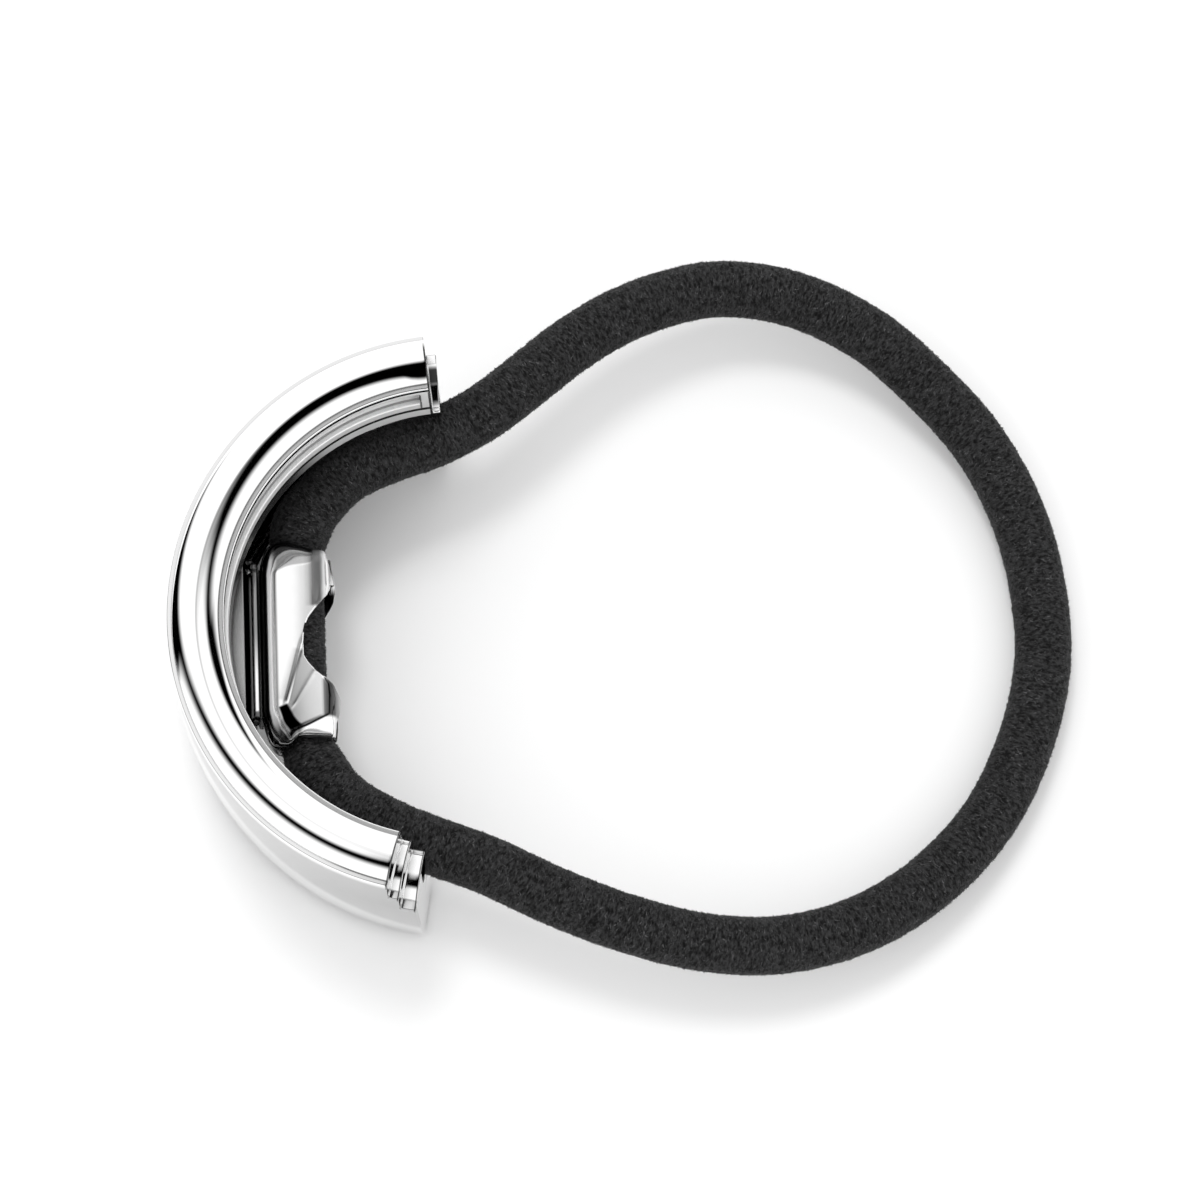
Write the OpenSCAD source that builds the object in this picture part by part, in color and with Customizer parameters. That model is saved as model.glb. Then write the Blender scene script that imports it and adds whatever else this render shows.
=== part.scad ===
// Ponytail cuff: a cast half-ring cuff, a folded crimp clip soldered inside it, and a covered elastic
// loop held by the clip. Millimetres. The cuff stands on its edge, its axis is Z, and it opens towards +X.

/* [Cuff] */
// Diameter across the inner lips of the half ring
inner_d = 31.3; // [28:0.1:38]
// Wall from the inner lip to the outer lip
wall = 3.85; // [3.4:0.05:5]
// Width of the cuff along its axis
cuff_w = 19; // [18:0.5:26]
// How far the outer wall swells beyond the outer lip
bulge = 0.45; // [0.1:0.05:0.9]

/* [Domed rims] */
// Height of the dome above its foot
dome_rise = 0.65; // [0.3:0.05:1]
// Width of the flat lip on each side of the dome
lip_w = 0.35; // [0.2:0.05:0.6]
// Drop from the foot of the dome to the lip
lip_drop = 0.12; // [0.05:0.01:0.3]

/* [Inner face] */
// Height of the plain band under each inner lip
band_h = 1.1; // [0.6:0.1:1.8]
// Width of each closed channel along the axis
channel_w = 2.1; // [1.2:0.1:2.8]
// Depth of each closed channel
channel_d = 1.3; // [0.6:0.1:1.8]
// Size of the small shelf in the deep corner of each channel
shelf = 0.35; // [0.2:0.05:0.5]
// Wall left between a channel and the end of the cuff, along the ring
channel_land = 0.8; // [0.5:0.1:2]
// Room above and below the elastic in the groove that seats it
seat_room = 0.8; // [0.4:0.1:1.2]
// Depth of the groove that seats the elastic
seat_d = 1.7; // [1.6:0.05:2.1]

/* [Ends] */
// Angle at which the upper end of the top rim stops
upper_end = 97; // [92:0.5:110]
// Angle at which the lower end of the top rim stops
lower_end = 257; // [245:0.5:262]
// Reach of the step at the upper end, along the ring
upper_step = 0.6; // [0.3:0.05:1.5]
// Drop of the step at the upper end
upper_drop = 5.6; // [4.5:0.1:6]
// Reach of the first step at the lower end, along the ring
lower_step_a = 0.65; // [0.3:0.05:1.5]
// Drop of the first step at the lower end
lower_drop_a = 3; // [2:0.1:3.8]
// Reach of the second step at the lower end, along the ring
lower_step_b = 0.95; // [0.3:0.05:1.5]
// Drop of the second step below the first
lower_drop_b = 2.6; // [1.6:0.1:2.8]

/* [Pad] */
// Turn of the pad and clip about the cuff's axis
pad_turn = 2.5; // [0:0.5:6]
// How far the pad stands in from the inner lip
pad_in = 0.85; // [0.5:0.05:1.2]
// Length of the pad along the ring
pad_l = 12; // [9:0.5:14]
// Height of the pad along the axis
pad_h = 4; // [3:0.1:4.6]
// Depth of the ledge between the pad and the clip's plate
ledge_d = 0.5; // [0.3:0.05:0.8]
// Drop from the top of the pad to the ledge
ledge_drop = 0.8; // [0.4:0.1:1.2]

/* [Clip] */
// Length of the folded clip
clip_l = 14; // [12:0.5:17]
// Thickness of the sheet
sheet_t = 0.5; // [0.4:0.05:0.8]
// Outer radius of the folds
fold_r = 1.3; // [1:0.05:1.6]
// Height of the plate behind the clip
plate_h = 4.4; // [3.4:0.1:4.8]
// Gap between the tips of the two flaps
flap_gap = 0.6; // [0.3:0.05:1.2]
// How far the lower pair of teeth is bent out
tooth_out = 0.5; // [0.2:0.05:0.8]
// Radius of the round notch in the flaps
notch_r = 3.1; // [2.4:0.1:3.6]
// Depth of the notch behind the upper teeth
notch_depth = 2.2; // [1.6:0.1:2.4]
// Place of the notch along the clip
notch_y = 0.2; // [-1:0.1:1]
// Plan radius of the clip's back corners
corner_r = 1.6; // [0.8:0.1:2]

/* [Elastic] */
// Thickness of the covered elastic
elastic_d = 4; // [3.6:0.1:4.2]
// Room round the elastic inside the clip
elastic_room = 0.1; // [0.05:0.05:0.3]

/* [Hidden] */
$fn = 96;
// overrun of a cutting tool past the face that it cuts
over = 1;

// radii of the half ring
lip_in_r = inner_d / 2;
lip_out_r = lip_in_r + wall;
mid_r = lip_in_r + wall / 2;
seat_r = lip_in_r + seat_d;

// levels along the axis
mid_z = cuff_w / 2;
lip_z = dome_rise + lip_drop;
channel_z = lip_z + band_h;

// radius of an arc from its chord and its height
function arc_radius(chord, rise) = (chord * chord / 4 + rise * rise) / (2 * rise);

dome_w = wall - 2 * lip_w;
dome_r = arc_radius(dome_w, dome_rise);
swell_r = arc_radius(cuff_w - 2 * lip_z, bulge);

// a length along the ring as an angle
function along(length) = length / mid_r * 180 / PI;

// the seat groove is as high as the elastic with its room
seat_h = elastic_d + 2 * seat_room;

// distances from the cuff's axis to the stack of pad, plate, sheet and elastic
pad_r = lip_in_r - pad_in;
plate_r = pad_r - ledge_d;
fold_back_r = plate_r - sheet_t;
elastic_r = fold_back_r - sheet_t - elastic_room - elastic_d / 2;
fold_front_r = elastic_r - elastic_d / 2 - elastic_room - sheet_t;
fold_h = elastic_d + 2 * elastic_room + 2 * sheet_t;
// the ends of the elastic meet here, hidden under the lower teeth
joint_y = -clip_l / 2 + 2.2;
joint_gap = 0.3;

// route of the elastic outside the clip, from the clip's upper end round to its lower end
ROUTE = [
    [-11.2, 8, 9.5], [-10, 10, 9.5], [-8, 12, 9.5], [-5, 13.5, 9.3], [-2, 14.7, 9],
    [1.5, 16.7, 8.8], [4.5, 19.2, 8.4], [7.5, 21.8, 8], [11, 24.2, 7.5], [15, 26, 6.8],
    [19, 26.8, 6.2], [24, 26.2, 5.4], [29, 24, 4.5], [33, 20.8, 3.6], [37, 16.5, 2.7],
    [39.8, 11.2, 2.3], [41.2, 5.6, 2.05], [41.4, 0, 2.05], [40, -5.8, 2.3], [37.2, -11.4, 2.7],
    [33, -16, 3.6], [28, -19.2, 4.5], [22.5, -20.8, 5.5], [17, -20.8, 6.4], [11.5, -19.6, 7.4],
    [6.5, -17.8, 8.1], [2, -15.8, 8.7], [-2, -14.4, 9], [-5, -13.2, 9.3], [-8, -11.4, 9.5],
    [-9.8, -9.2, 9.5]
];
// steps of the smooth curve between two points, and sides of the swept tube
STEPS = 2;
SIDES = 12;

// a place in the clip's own frame, turned with the pad
function in_clip(x, y) = [
    x * cos(pad_turn) - y * sin(pad_turn),
    x * sin(pad_turn) + y * cos(pad_turn),
    mid_z
];

CLIP_START = [for (y = [joint_y + joint_gap / 2, joint_y + 3, 0, 3, 6]) in_clip(-elastic_r, y)];
CLIP_END = [for (y = [joint_y - 0.9, joint_y - joint_gap / 2]) in_clip(-elastic_r, y)];
PATH = concat(CLIP_START, ROUTE, CLIP_END);

// a point of the smooth curve through four neighbours
function curve(a, b, c, d, t) =
    0.5 * (2 * b + (c - a) * t + (2 * a - 5 * b + 4 * c - d) * t * t + (3 * b - 3 * c + d - a) * t * t * t);

function pick(list, i) = list[max(0, min(len(list) - 1, i))];

function smooth(list, steps) = concat(
    [for (i = [0 : len(list) - 2], s = [0 : steps - 1])
        curve(pick(list, i - 1), list[i], list[i + 1], pick(list, i + 2), s / steps)],
    [list[len(list) - 1]]
);

function unit(v) = v / norm(v);

// one ring of the tube, square to the route
function tube_ring(line, i, r) =
    let (ahead = unit(pick(line, i + 1) - pick(line, i - 1)))
    let (side = unit(cross(ahead, [0, 0, 1])))
    let (up = cross(side, ahead))
    [for (k = [0 : SIDES - 1]) line[i] + r * (cos(360 * k / SIDES) * side + sin(360 * k / SIDES) * up)];

module swept_tube(line, r) {
    rings = len(line);
    points = [for (i = [0 : rings - 1], p = tube_ring(line, i, r)) p];
    sides = [for (i = [0 : rings - 2], k = [0 : SIDES - 1])
        [i * SIDES + k, i * SIDES + (k + 1) % SIDES, (i + 1) * SIDES + (k + 1) % SIDES, (i + 1) * SIDES + k]];
    first = [for (k = [SIDES - 1 : -1 : 0]) k];
    last = [for (k = [0 : SIDES - 1]) (rings - 1) * SIDES + k];
    polyhedron(points, concat([first, last], sides));
}

// domed rim whose foot is at the given height
module dome_profile(foot_z) {
    translate([mid_r - dome_w / 2, foot_z - lip_drop - over])
        square([dome_w, lip_drop + over]);
    intersection() {
        translate([mid_r, foot_z + dome_rise - dome_r]) circle(dome_r);
        translate([mid_r - dome_w / 2, foot_z - over]) square([dome_w, dome_rise + 2 * over]);
    }
}

// section of the wall in radius and height, up to a top rim at the given height
module wall_profile(top_z) {
    intersection() {
        translate([lip_in_r, lip_z]) square([wall + bulge + over, top_z - 2 * lip_z]);
        translate([lip_out_r + bulge - swell_r, mid_z]) circle(swell_r, $fn = 360);
    }
    dome_profile(top_z - dome_rise);
    translate([0, cuff_w]) mirror([0, 1]) dome_profile(cuff_w - dome_rise);
}

// part of the ring between two angles
module arc_of(from, to) {
    rotate([0, 0, from]) rotate_extrude(angle = to - from, $fn = 180) children();
}

// the closed channel above the elastic, with its shelf in the deep corner
module channel_profile() {
    translate([lip_in_r - over, cuff_w - channel_z - channel_w + shelf])
        square([over + channel_d, channel_w - shelf]);
    translate([lip_in_r - over, cuff_w - channel_z - channel_w])
        square([over + shelf, shelf + over / 10]);
}

module channels() {
    stop = along(channel_land);
    arc_of(upper_end + stop, lower_end - stop) {
        channel_profile();
        translate([0, cuff_w]) mirror([0, 1]) channel_profile();
    }
}

module seat_groove() {
    arc_of(upper_end - 3 * along(upper_step), lower_end + 3 * along(lower_step_a + lower_step_b))
        translate([lip_in_r - over, mid_z - seat_h / 2]) square([over + seat_d, seat_h]);
}

// what is cut away above a lower rim, down to its dome and lips
module step_profile(top_z) {
    difference() {
        translate([lip_in_r - over, top_z - lip_z]) square([wall + bulge + 2 * over, cuff_w - top_z + lip_z + over]);
        dome_profile(top_z - dome_rise);
    }
}

// the ring is revolved to its longest reach, then each end is cut down in steps
module half_ring() {
    low_a = lower_end + along(lower_step_a);
    low_b = low_a + along(lower_step_b);
    beyond = along(over);
    difference() {
        arc_of(upper_end - along(upper_step), low_b) wall_profile(cuff_w);
        arc_of(upper_end - along(upper_step) - beyond, upper_end) step_profile(cuff_w - upper_drop);
        arc_of(lower_end, low_b + beyond) step_profile(cuff_w - lower_drop_a);
        arc_of(low_a, low_b + beyond) step_profile(cuff_w - lower_drop_a - lower_drop_b);
    }
}

// pad that fills the groove behind the clip, and the ledge that carries the clip's plate
module pad() {
    rotate([0, 0, pad_turn]) intersection() {
        translate([0, 0, mid_z - pad_h / 2]) cylinder(r = seat_r + over / 2, h = pad_h, $fn = 180);
        union() {
            translate([-2 * lip_out_r, -pad_l / 2, 0]) cube([2 * lip_out_r - pad_r, pad_l, cuff_w]);
            translate([-2 * lip_out_r, -pad_l / 2, 0])
                cube([2 * lip_out_r - plate_r, pad_l, mid_z + pad_h / 2 - ledge_drop]);
        }
    }
}

module cuff() {
    color("gainsboro") {
        difference() {
            half_ring();
            channels();
            seat_groove();
        }
        pad();
    }
}

// filled outline with round corners, from one corner to the other
module round_box(x0, x1, h, r) {
    translate([x0 + r, -h / 2]) square([x1 - x0 - 2 * r, h]);
    translate([x0, -h / 2 + r]) square([x1 - x0, h - 2 * r]);
    for (x = [x0 + r, x1 - r], z = [-h / 2 + r, h / 2 - r]) translate([x, z]) circle(r, $fn = 48);
}

// folded sheet round the elastic between two places along the clip
module fold(y0, y1, out) {
    translate([0, y1, mid_z]) rotate([90, 0, 0]) linear_extrude(y1 - y0) difference() {
        round_box(-fold_back_r, out - fold_front_r, fold_h, fold_r);
        round_box(-fold_back_r + sheet_t, out - fold_front_r - sheet_t, fold_h - 2 * sheet_t, fold_r - sheet_t);
    }
}

module clip() {
    color("silver") rotate([0, 0, pad_turn]) {
        translate([-plate_r, -clip_l / 2 + corner_r, mid_z - plate_h / 2])
            cube([sheet_t, clip_l - 2 * corner_r, plate_h]);
        difference() {
            intersection() {
                union() {
                    fold(notch_y, clip_l / 2, 0);
                    fold(-clip_l / 2, notch_y, tooth_out);
                }
                linear_extrude(cuff_w) round_box(-fold_back_r, lip_in_r, clip_l, corner_r);
            }
            translate([notch_r - fold_front_r - notch_depth, notch_y, 0]) cylinder(r = notch_r, h = cuff_w);
            translate([-elastic_r, -clip_l, mid_z - flap_gap / 2]) cube([lip_in_r, 2 * clip_l, flap_gap]);
        }
    }
}

module elastic() {
    color([0.15, 0.15, 0.15]) swept_tube(smooth(PATH, STEPS), elastic_d / 2);
}

cuff();
clip();
elastic();
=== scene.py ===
# Looks of the ponytail cuff: a polished cast half ring, a folded crimp clip soldered inside it, and a covered
# elastic loop. Sizes are millimetres, and each piece is turned into metres once its mesh is done.
from math import acos, asin, atan2, cos, degrees, exp, hypot, pi, radians, sin, sqrt, tan

import bmesh
import bpy
import numpy as np
from mathutils import Matrix, Vector, noise


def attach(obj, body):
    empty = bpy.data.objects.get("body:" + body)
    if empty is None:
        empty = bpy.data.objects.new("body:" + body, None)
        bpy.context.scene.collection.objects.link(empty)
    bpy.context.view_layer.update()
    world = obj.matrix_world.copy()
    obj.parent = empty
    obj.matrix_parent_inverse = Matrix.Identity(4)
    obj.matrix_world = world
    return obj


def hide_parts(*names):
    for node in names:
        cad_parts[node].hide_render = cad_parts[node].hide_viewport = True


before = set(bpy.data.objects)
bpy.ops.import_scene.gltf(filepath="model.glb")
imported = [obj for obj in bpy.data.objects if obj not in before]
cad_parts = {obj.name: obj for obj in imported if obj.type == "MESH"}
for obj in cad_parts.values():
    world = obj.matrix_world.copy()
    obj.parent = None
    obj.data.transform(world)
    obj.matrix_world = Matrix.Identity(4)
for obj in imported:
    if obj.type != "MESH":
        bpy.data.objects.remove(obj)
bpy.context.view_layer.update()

MM = 0.001

# Sizes of the cuff, as in the solids
CUFF_W = 19.0
MID_Z = CUFF_W / 2
IN_R = 15.65
WALL = 3.85
OUT_R = IN_R + WALL
MID_R = IN_R + WALL / 2
BULGE = 0.45
DOME_RISE = 0.65
LIP_W = 0.35
LIP_DROP = 0.12
LIP_Z = DOME_RISE + LIP_DROP
DOME_W = WALL - 2 * LIP_W
BAND_H = 1.1
CHANNEL_W = 2.1
CHANNEL_R = IN_R + 1.3
SHELF = 0.35
CHANNEL_LAND = 0.8
SEAT_D = 1.7
SEAT_H = 5.6
UPPER_END = 97.0
LOWER_END = 257.0
UPPER_STEP = 0.6
LOWER_STEP_A = 0.65
LOWER_STEP_B = 0.95
LOWER_TOP_A = CUFF_W - 3.0
LOWER_TOP_B = LOWER_TOP_A - 2.6

# Sizes of the pad, the clip and the elastic
PAD_TURN = radians(2.5)
PAD_R = 14.8
PAD_L = 12.0
PAD_H = 4.0
LEDGE_DROP = 0.8
PLATE_R = 14.3
SHEET_T = 0.5
FOLD_BACK_R = PLATE_R - SHEET_T
ELASTIC_D = 4.0
ELASTIC_R = 11.2
CLIP_L = 14.0
JOINT_Y = -4.8
JOINT_GAP = 0.3

# Route of the elastic outside the clip, the same points as the solid's
ROUTE = [
    (-11.2, 8, 9.5), (-10, 10, 9.5), (-8, 12, 9.5), (-5, 13.5, 9.3), (-2, 14.7, 9),
    (1.5, 16.7, 8.8), (4.5, 19.2, 8.4), (7.5, 21.8, 8), (11, 24.2, 7.5), (15, 26, 6.8),
    (19, 26.8, 6.2), (24, 26.2, 5.4), (29, 24, 4.5), (33, 20.8, 3.6), (37, 16.5, 2.7),
    (39.8, 11.2, 2.3), (41.2, 5.6, 2.05), (41.4, 0, 2.05), (40, -5.8, 2.3), (37.2, -11.4, 2.7),
    (33, -16, 3.6), (28, -19.2, 4.5), (22.5, -20.8, 5.5), (17, -20.8, 6.4), (11.5, -19.6, 7.4),
    (6.5, -17.8, 8.1), (2, -15.8, 8.7), (-2, -14.4, 9), (-5, -13.2, 9.3), (-8, -11.4, 9.5),
    (-9.8, -9.2, 9.5),
]


# Camera, at the photograph's viewing angle
CAMERA_AT = (9.77, -64.69, 276.59)
CAMERA_TILT = 14.187
CAMERA_LENS = 118.35
SENSOR_W = 36
SEEN_FROM, SEEN_TO = 0.02, 20


def set_up(thing, **settings):
    for name, setting in settings.items():
        setattr(thing, name, setting)
    return thing


def add_object(name, data):
    made = bpy.data.objects.new(name, data)
    bpy.context.scene.collection.objects.link(made)
    return made


data = set_up(bpy.data.cameras.new("camera"), sensor_width=SENSOR_W, lens=CAMERA_LENS, clip_start=SEEN_FROM,
              clip_end=SEEN_TO)
camera = add_object("camera", data)
camera.location = Vector(CAMERA_AT) * MM
camera.rotation_euler = (radians(CAMERA_TILT), 0, 0)
bpy.context.scene.camera = camera


# Mesh helpers
BEVEL_STEPS = 3
NORMAL_WEIGHT = 60
ALONG_RING = 0.999


def make_object(name, points, faces, painted_recess_shade=True):
    """A new object, whose faces look outwards if they close a body."""
    data = bpy.data.meshes.new(name)
    data.from_pydata([tuple(float(c) for c in p) for p in points], [], faces)
    data.validate()
    if painted_recess_shade:
        mesh = bmesh.new()
        mesh.from_mesh(data)
        bmesh.ops.recalc_face_normals(mesh, faces=mesh.faces)
        mesh.to_mesh(data)
        mesh.free()
    return add_object(name, data)


def settle(piece):
    """Applies the modifiers of a piece and keeps its millimetres."""
    bpy.context.view_layer.update()
    done = bpy.data.meshes.new_from_object(piece.evaluated_get(bpy.context.evaluated_depsgraph_get()))
    piece.modifiers.clear()
    piece.data = done
    return piece


def smooth_shading(piece):
    piece.data.polygons.foreach_set("use_smooth", [True] * len(piece.data.polygons))


def add_modifier(piece, kind, **settings):
    set_up(piece.modifiers.new(kind.lower(), kind), **settings)


def unite(piece, *others):
    for other in others:
        add_modifier(piece, "BOOLEAN", operation="UNION", solver="MANIFOLD", object=other)
        settle(piece)
        bpy.data.objects.remove(other)


def join(piece, other):
    """Adds the faces of another object to a piece."""
    mesh = bmesh.new()
    mesh.from_mesh(piece.data)
    mesh.from_mesh(other.data)
    mesh.to_mesh(piece.data)
    mesh.free()
    bpy.data.objects.remove(other)


def even_ends(piece):
    """Marks the edges of faces that look along the ring as sharp, so that the flat ends mirror evenly."""
    keys = set()
    for face in piece.data.polygons:
        x, y, _ = face.center
        if abs(face.normal.x * y - face.normal.y * x) > ALONG_RING * hypot(x, y):
            keys.update(face.edge_keys)
    for edge in piece.data.edges:
        edge.use_edge_sharp = edge.key in keys


def weigh_normals(piece):
    """Lets the large faces set the normals, so that the small ones round off between them."""
    add_modifier(piece, "WEIGHTED_NORMAL", weight=NORMAL_WEIGHT, keep_sharp=True)
    settle(piece)


def complete(piece, name, finish):
    """Turns a piece into metres and gives it its name and material."""
    piece.name = name
    piece.data.transform(Matrix.Scale(MM, 4))
    piece.data.update()
    piece.data.materials.clear()
    piece.data.materials.append(finish)
    piece.data.polygons.foreach_set("material_index", [0] * len(piece.data.polygons))


def turn_with_pad(points):
    """Turns points of the clip's own frame about the axis of the cuff, as the pad is turned."""
    c, s = cos(PAD_TURN), sin(PAD_TURN)
    p = np.asarray(points, float)
    return np.stack([p[..., 0] * c - p[..., 1] * s, p[..., 0] * s + p[..., 1] * c, p[..., 2]], -1)


# The cast half ring: closed sections in radius and height, one for each stretch between two angles
CORNER = 0.12
CREASE = 0.05
END_CORNER = 0.09
REACH = 0.2
SEAT_REACH = REACH / 2
SEAT_CORNER = SEAT_REACH - 0.01
CORNER_STEPS = 4
DOME_STEPS = 26
WALL_STEP = 0.7


def soften(corners):
    """An open line through corners (r, z, radius), each rounded by its radius."""
    line = [corners[0][:2]]
    for before, here, after in zip(corners, corners[1:], corners[2:]):
        p = Vector(here[:2])
        radius = here[2]
        if radius == 0:
            line.append(tuple(p))
            continue
        back = (Vector(before[:2]) - p).normalized()
        on = (Vector(after[:2]) - p).normalized()
        half = acos(max(-1, min(1, back.dot(on)))) / 2
        centre = p + (back + on).normalized() * (radius / sin(half))
        start = p + back * (radius / tan(half)) - centre
        end = p + on * (radius / tan(half)) - centre
        sweep = start.angle_signed(end)
        for k in range(CORNER_STEPS + 1):
            a = -sweep * k / CORNER_STEPS
            c, s = cos(a), sin(a)
            line.append(tuple(centre + Vector((start.x * c - start.y * s, start.x * s + start.y * c))))
    line.append(corners[-1][:2])
    return line


def arc_radius(chord, rise):
    return (chord * chord / 4 + rise * rise) / (2 * rise)


SWELL_R = arc_radius(CUFF_W - 2 * LIP_Z, BULGE)
DOME_R = arc_radius(DOME_W, DOME_RISE)


def outer_r(z):
    return OUT_R + BULGE - SWELL_R + sqrt(SWELL_R ** 2 - (z - MID_Z) ** 2)


def rim(top):
    """The lips and the dome of a rim, from the outer wall to the inner wall."""
    lip = top - LIP_Z
    foot = lip + LIP_DROP
    half = DOME_W / 2
    turns = [asin(half / DOME_R) * (1 - 2 * k / DOME_STEPS) for k in range(1, DOME_STEPS)]
    dome = [(MID_R + DOME_R * sin(a), top - DOME_R + DOME_R * cos(a), 0) for a in turns]
    return soften([
        (outer_r(lip - REACH), lip - REACH, 0), (outer_r(lip), lip, CORNER), (MID_R + half, lip, CREASE),
        (MID_R + half, foot, CREASE), *dome, (MID_R - half, foot, CREASE), (MID_R - half, lip, CREASE),
        (IN_R, lip, CORNER), (IN_R, lip - REACH, 0),
    ])


def channel(mouth_top):
    """The channel under the upper rim, from the top of its mouth to the bottom, with its shelf."""
    bottom = mouth_top - CHANNEL_W
    return soften([
        (IN_R, mouth_top + REACH, 0), (IN_R, mouth_top, CORNER), (CHANNEL_R, mouth_top, CORNER),
        (CHANNEL_R, bottom + SHELF, CORNER), (IN_R + SHELF, bottom + SHELF, CREASE),
        (IN_R + SHELF, bottom, CREASE), (IN_R, bottom, CORNER), (IN_R, bottom - REACH, 0),
    ])


def seat():
    """The groove in the middle of the inner wall, which the elastic lies in."""
    top, bottom, deep = MID_Z + SEAT_H / 2, MID_Z - SEAT_H / 2, IN_R + SEAT_D
    return soften([
        (IN_R, top + SEAT_REACH, 0), (IN_R, top, SEAT_CORNER), (deep, top, CORNER),
        (deep, bottom, CORNER), (IN_R, bottom, SEAT_CORNER), (IN_R, bottom - SEAT_REACH, 0),
    ])


def mirrored(line):
    return [(r, CUFF_W - z) for r, z in reversed(line)]


def clean(line):
    """A line with rounded places, and none of them twice in a row."""
    out = []
    for r, z in line:
        point = (round(r, 4), round(z, 4))
        if not out or out[-1] != point:
            out.append(point)
    return out[:-1] if out[0] == out[-1] else out


CHANNEL_TOP = CUFF_W - LIP_Z - BAND_H
TOPS = (CUFF_W, LOWER_TOP_A, LOWER_TOP_B)
FEET = {round(t - LIP_Z - REACH, 4) for t in TOPS}
WALL_HEIGHTS = sorted(
    FEET | {round(z, 4) for z in np.arange(LIP_Z + REACH, CUFF_W - LIP_Z - REACH, WALL_STEP)})
INNER_HEIGHTS = sorted(FEET | {round(z, 4) for z in (CHANNEL_TOP + REACH, CHANNEL_TOP - CHANNEL_W - REACH)})


def inner_wall(top, bottom, cut):
    """The inner wall from one height down to another, with the channel cut into it or with its mouth closed."""
    line = [(IN_R, z) for z in reversed(INNER_HEIGHTS) if bottom < z < top]
    if not cut:
        return line
    groove = channel(CHANNEL_TOP)
    return [p for p in line if p[1] > groove[0][1]] + groove + [p for p in line if p[1] < groove[-1][1]]


def section(top, cut):
    """The closed section below a rim, from the outer wall's lowest point upward and round."""
    foot = top - LIP_Z - REACH
    outer = [(outer_r(z), z) for z in WALL_HEIGHTS if z <= foot]
    seat_top = MID_Z + SEAT_H / 2 + SEAT_REACH
    lower = mirrored(inner_wall(CUFF_W - LIP_Z - REACH, seat_top, cut))
    return clean(outer + rim(top) + inner_wall(foot, seat_top, cut) + seat() + lower + mirrored(rim(CUFF_W)))


def along(length):
    """The angle that a length along the middle of the wall takes up."""
    return degrees(length / MID_R)


def parted(tall, low):
    """Where two sections part and meet again, as pairs of open lines with shared ends."""
    place = {p: j for j, p in enumerate(low)}
    shared = [(i, place[p]) for i, p in enumerate(tall) if p in place]
    return [(tall[i0:i1 + 1], low[j0:j1 + 1]) for (i0, j0), (i1, j1) in zip(shared, shared[1:])
            if i1 - i0 > 1 or j1 - j0 > 1]


def build_cuff():
    land, low_a = along(CHANNEL_LAND), LOWER_END + along(LOWER_STEP_A)
    turns = [UPPER_END - along(UPPER_STEP), UPPER_END, UPPER_END + land, LOWER_END - land, LOWER_END, low_a,
             low_a + along(LOWER_STEP_B)]
    full, ends = section(CUFF_W, True), section(CUFF_W, False)
    low_1, low_2 = section(LOWER_TOP_A, False), section(LOWER_TOP_B, False)
    zones = list(zip(turns, turns[1:], (low_2, ends, full, ends, low_1, low_2)))
    mesh = bmesh.new()
    weight = mesh.edges.layers.float.new("bevel_weight_edge")
    known = {}

    def vertex(angle, point):
        key = (round(angle, 5), point)
        if key not in known:
            a = radians(angle)
            known[key] = mesh.verts.new((point[0] * cos(a), point[0] * sin(a), point[1]))
        return known[key]

    def weigh(angle, line, painted_recess_shade=False):
        pairs = list(zip(line, line[1:])) + ([(line[-1], line[0])] if painted_recess_shade else [])
        for p, q in pairs:
            edge = mesh.edges.get((vertex(angle, p), vertex(angle, q)))
            if edge:
                edge[weight] = 1

    for start, end, loop in zones:
        count = max(2, round(end - start))
        angles = np.linspace(start, end, count + 1)
        for a, b in zip(angles, angles[1:]):
            for p, q in zip(loop, loop[1:] + loop[:1]):
                mesh.faces.new((vertex(a, p), vertex(a, q), vertex(b, q), vertex(b, p)))
    for angle, loop in ((zones[0][0], zones[0][2]), (zones[-1][1], zones[-1][2])):
        mesh.faces.new([vertex(angle, p) for p in loop])
        weigh(angle, loop, painted_recess_shade=True)
    for (_, angle, one), (_, _, two) in zip(zones, zones[1:]):
        tall, low = (one, two) if max(p[1] for p in one) >= max(p[1] for p in two) else (two, one)
        for run_a, run_b in parted(tall, low):
            mesh.faces.new([vertex(angle, p) for p in run_a] + [vertex(angle, p) for p in reversed(run_b[1:-1])])
            weigh(angle, run_a)
            weigh(angle, run_b)
    bmesh.ops.recalc_face_normals(mesh, faces=mesh.faces)
    data = bpy.data.meshes.new("cuff_body")
    mesh.to_mesh(data)
    mesh.free()
    piece = add_object("cuff_body", data)
    add_modifier(piece, "BEVEL", limit_method="WEIGHT", width=END_CORNER, segments=BEVEL_STEPS,
                 use_clamp_overlap=False)
    return settle(piece)


# Blocks: the pad and its ledge reach into the wall, and the ledge is a little smaller than the pad
BLOCK_ANGLE = radians(40)
PAD_DEPTH = 0.4
PAD_EDGE = 0.1
PAD_ARC_POINTS = 13
LEDGE_DEPTH = 0.6
LEDGE_INSET = 0.1
LEDGE_EDGE = 0.08


def rounded_block(name, outline, low, high, edge):
    """A flat block with an outline in plan, in the clip's own frame, and rounded edges."""
    count = len(outline)
    points = [(x, y, low) for x, y in outline] + [(x, y, high) for x, y in outline]
    faces = [list(range(count))[::-1], list(range(count, 2 * count))]
    faces += [(k, (k + 1) % count, count + (k + 1) % count, count + k) for k in range(count)]
    piece = make_object(name, turn_with_pad(points), faces)
    add_modifier(piece, "BEVEL", width=edge, segments=BEVEL_STEPS, limit_method="ANGLE", angle_limit=BLOCK_ANGLE)
    return settle(piece)


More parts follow.
